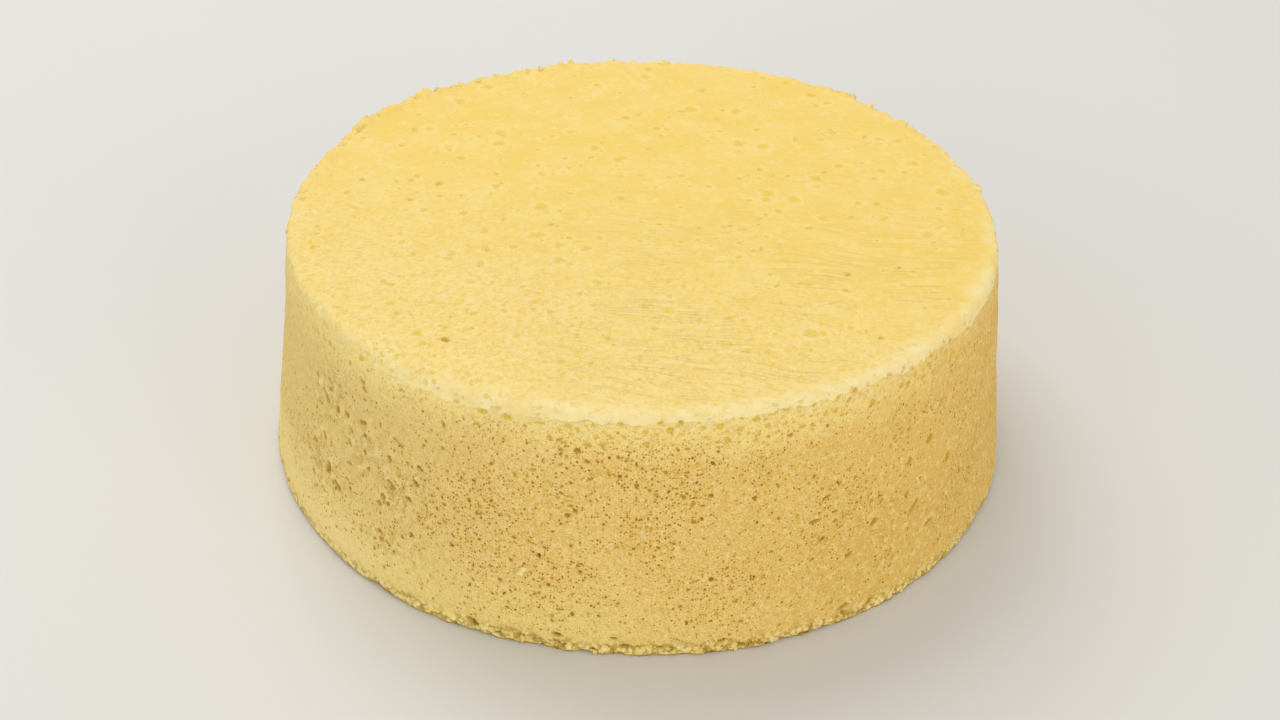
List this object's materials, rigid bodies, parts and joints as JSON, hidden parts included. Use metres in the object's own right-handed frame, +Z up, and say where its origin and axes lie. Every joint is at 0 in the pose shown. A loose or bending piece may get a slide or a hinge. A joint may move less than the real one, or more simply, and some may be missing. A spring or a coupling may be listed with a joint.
{
  "type": "sponge cake",
  "caption": "Plain round uncut sponge cake, wider at its foot, with a nearly flat top, a small worn rim, fine open crumb and a torn crumbly foot.",
  "frame": {"origin": "middle of the cake's flat base, on the surface it stands on", "axes": "+Z up along the cake's axis; the side that faces -Y is the side the picture shows"},
  "size_m": [0.179, 0.1796, 0.0591],
  "materials": {
    "sponge": "matte"
  },
  "bodies": {
    "root": {"sponge_cake": "sponge"}
  },
  "joints": []
}
